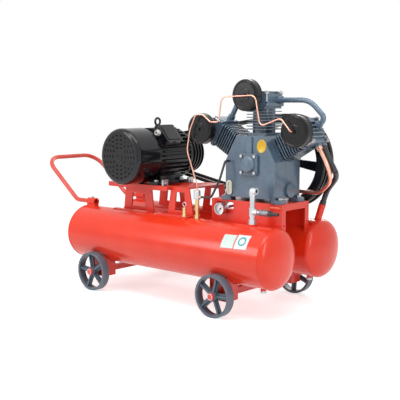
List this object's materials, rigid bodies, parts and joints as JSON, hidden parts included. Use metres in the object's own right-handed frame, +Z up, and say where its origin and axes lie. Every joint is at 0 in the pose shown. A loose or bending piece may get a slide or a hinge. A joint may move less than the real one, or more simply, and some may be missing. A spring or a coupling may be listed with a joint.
{
  "type": "wheeled twin-receiver piston air compressor",
  "caption": "Wheeled piston air compressor: W-type pump belt-driven by a foot-mounted motor on twin red receivers, with iron wheels, tow handle, gauge, regulator and outlet valve.",
  "frame": {"origin": "on the ground under the middle of the machine's bounding box", "axes": "+X along the receivers from the tow handle towards the pump end, +Y towards the belt side away from the gauge and outlet, +Z up"},
  "size_m": [1.967, 0.782, 1.193],
  "materials": {
    "red_paint": "gloss paint over mild steel",
    "wheel_casting": "painted casting",
    "pump_casting": "painted casting",
    "black_casting": "satin black paint",
    "black_sheet": "gloss black paint on sheet steel",
    "steel": "turned and zinc plated steel",
    "copper": "bright drawn copper tube, stated as brass",
    "brass": "turned brass",
    "rubber": "moulded black rubber",
    "aluminium": "machined aluminium",
    "white_plastic": "moulded white nylon",
    "red_grip": "steel lever with a dipped plastic sleeve",
    "gauge": "plated case with a white dial",
    "glass": "sight glass in a bezel"
  },
  "bodies": {
    "machine": {"front_tank": "red_paint", "rear_tank": "red_paint", "balance_pipe": "red_paint", "wheel_brackets": "red_paint", "wheel_axles": "steel", "tow_handle": "red_paint", "outer_pedestal": "red_paint", "inner_pedestal": "red_paint", "motor_rails": "red_paint", "pump_platform": "red_paint", "frame_fasteners": "steel", "motor_housing": "black_casting", "drive_end_shield": "black_casting", "fan_end_shield": "black_casting", "fan_cover": "black_sheet", "stator_core": "steel", "motor_bearings": "steel", "terminal_box": "black_casting", "terminal_box_lid": "black_sheet", "cable_gland": "white_plastic", "lifting_eye": "steel", "drive_belts": "rubber", "crankcase": "pump_casting", "front_bearing_cap": "pump_casting", "rear_bearing_housing": "pump_casting", "oil_sight_glass": "glass", "pump_fasteners": "steel", "air_filters": "black_sheet", "head_pipes": "pump_casting", "copper_pipe": "copper", "check_valve": "brass", "black_hoses": "rubber", "regulator": "brass", "unloader_tube": "copper", "outlet_riser": "steel", "ball_valve_body": "steel", "hose_tail": "brass", "pressure_gauge": "gauge", "safety_valve": "brass", "left_cylinder": "pump_casting", "left_head": "pump_casting", "middle_cylinder": "pump_casting", "middle_head": "pump_casting", "right_cylinder": "pump_casting", "right_head": "pump_casting"},
    "crank": {"crankshaft": "steel", "flywheel": "black_casting"},
    "motor_shaft": {"motor_rotor": "steel", "cooling_fan": "aluminium", "motor_pulley": "black_casting"},
    "lever": {"valve_lever": "red_grip"},
    "needle": {"gauge_needle": "black_sheet"},
    "relief_ring": {"safety_valve_ring": "steel"},
    "left_piston": {"left_piston": "aluminium"},
    "middle_piston": {"middle_piston": "aluminium"},
    "right_piston": {"right_piston": "aluminium"},
    "front_wheel_motor_end": {"front_wheel_motor_end": "wheel_casting"},
    "front_wheel_pump_end": {"front_wheel_pump_end": "wheel_casting"},
    "rear_wheel_motor_end": {"rear_wheel_motor_end": "wheel_casting"},
    "rear_wheel_pump_end": {"rear_wheel_pump_end": "wheel_casting"}
  },
  "joints": [
    {"name": "crank_spin", "type": "hinge", "parent": "machine", "child": "crank", "pos_m": [0.58701, 0, 0.761], "axis": [0, 1, 0], "continuous": true},
    {"name": "motor_spin", "type": "hinge", "parent": "machine", "child": "motor_shaft", "pos_m": [-0.18199, 0, 0.774], "axis": [0, 1, 0], "continuous": true},
    {"name": "valve_turn", "type": "hinge", "parent": "machine", "child": "lever", "pos_m": [0.74401, -0.2045, 0.54], "axis": [0, 0, -1], "range_deg": [0, 90]},
    {"name": "needle_swing", "type": "hinge", "parent": "machine", "child": "needle", "pos_m": [0.41801, -0.15, 0.521], "axis": [0, 1, 0], "range_deg": [0, 270], "stiffness_Nm_per_rad": 0.0004},
    {"name": "relief_lift", "type": "slide", "parent": "machine", "child": "relief_ring", "axis": [0, 0, 1], "range_m": [0, 0.006], "stiffness_N_per_m": 600, "springref_m": -0.002},
    {"name": "left_stroke", "type": "slide", "parent": "machine", "child": "left_piston", "axis": [0.866, 0, -0.5], "range_m": [0, 0.07]},
    {"name": "middle_stroke", "type": "slide", "parent": "machine", "child": "middle_piston", "axis": [0, 0, -1], "range_m": [0, 0.07]},
    {"name": "right_stroke", "type": "slide", "parent": "machine", "child": "right_piston", "axis": [-0.866, 0, -0.5], "range_m": [0, 0.07]},
    {"name": "front_wheel_motor_end_roll", "type": "hinge", "parent": "machine", "child": "front_wheel_motor_end", "pos_m": [-0.36599, -0.355, 0.11], "axis": [0, 1, 0], "continuous": true},
    {"name": "rear_wheel_motor_end_roll", "type": "hinge", "parent": "machine", "child": "rear_wheel_motor_end", "pos_m": [-0.36599, 0.355, 0.11], "axis": [0, 1, 0], "continuous": true},
    {"name": "front_wheel_pump_end_roll", "type": "hinge", "parent": "machine", "child": "front_wheel_pump_end", "pos_m": [0.54601, -0.355, 0.11], "axis": [0, 1, 0], "continuous": true},
    {"name": "rear_wheel_pump_end_roll", "type": "hinge", "parent": "machine", "child": "rear_wheel_pump_end", "pos_m": [0.54601, 0.355, 0.11], "axis": [0, 1, 0], "continuous": true}
  ],
  "couplings": [
    {"joint": "motor_spin", "follows": "crank_spin", "ratio": 2.1733}
  ]
}
